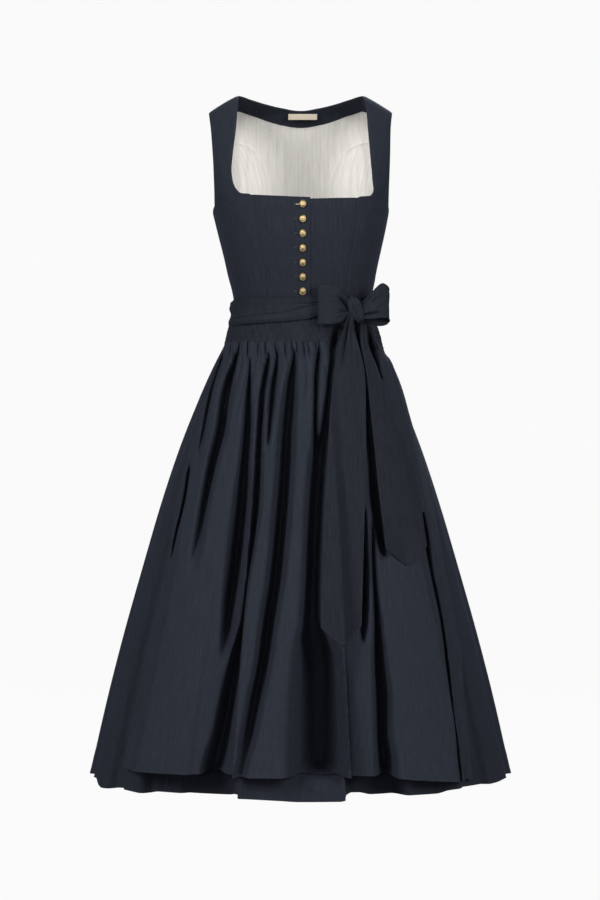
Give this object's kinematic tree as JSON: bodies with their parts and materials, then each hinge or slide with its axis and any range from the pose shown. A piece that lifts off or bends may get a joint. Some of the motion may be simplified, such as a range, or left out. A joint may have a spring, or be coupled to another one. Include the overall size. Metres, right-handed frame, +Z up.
{
  "type": "dirndl",
  "caption": "Sleeveless folk dress with a square neck, buttoned fitted bodice, gathered full skirt and an apron tied in a bow at the side, filled out as when worn.",
  "frame": {"origin": "midway between the tops of the two shoulder seams, where the wearer's shoulders hold the dress up", "axes": "+Z up, the front of the dress faces -Y, the wearer's left is +X"},
  "size_m": [0.7596, 0.6264, 1.2194],
  "materials": {
    "dress_cloth": "dark navy herringbone wool and cotton, matt",
    "apron_cloth": "dark navy herringbone, matt with a faint sheen",
    "lining_cloth": "pale warm grey woven lining, softly creased",
    "label_cloth": "cream woven label, bare",
    "button_brass": "pale gold domed metal, satin"
  },
  "bodies": {
    "root": {"side_front_right": "dress_cloth", "side_front_left": "dress_cloth", "front_right": "dress_cloth", "front_left": "dress_cloth", "centre_back": "dress_cloth", "side_back_left": "dress_cloth", "side_back_right": "dress_cloth", "back_neck_facing": "dress_cloth", "lining_centre_back": "lining_cloth", "lining_side_back_left": "lining_cloth", "lining_side_back_right": "lining_cloth", "label": "label_cloth", "button_1": "button_brass", "button_2": "button_brass", "button_3": "button_brass", "button_4": "button_brass", "button_5": "button_brass", "button_6": "button_brass", "button_7": "button_brass", "skirt_front": "dress_cloth", "skirt_back": "dress_cloth", "apron_shirring": "apron_cloth", "apron_panel": "apron_cloth", "apron_waistband": "apron_cloth", "tie_round_right": "apron_cloth", "tie_round_left": "apron_cloth", "bow_knot": "apron_cloth", "bow_loop_left": "apron_cloth", "bow_loop_right": "apron_cloth", "bow_tail_long": "apron_cloth", "bow_tail_short": "apron_cloth"}
  },
  "joints": []
}
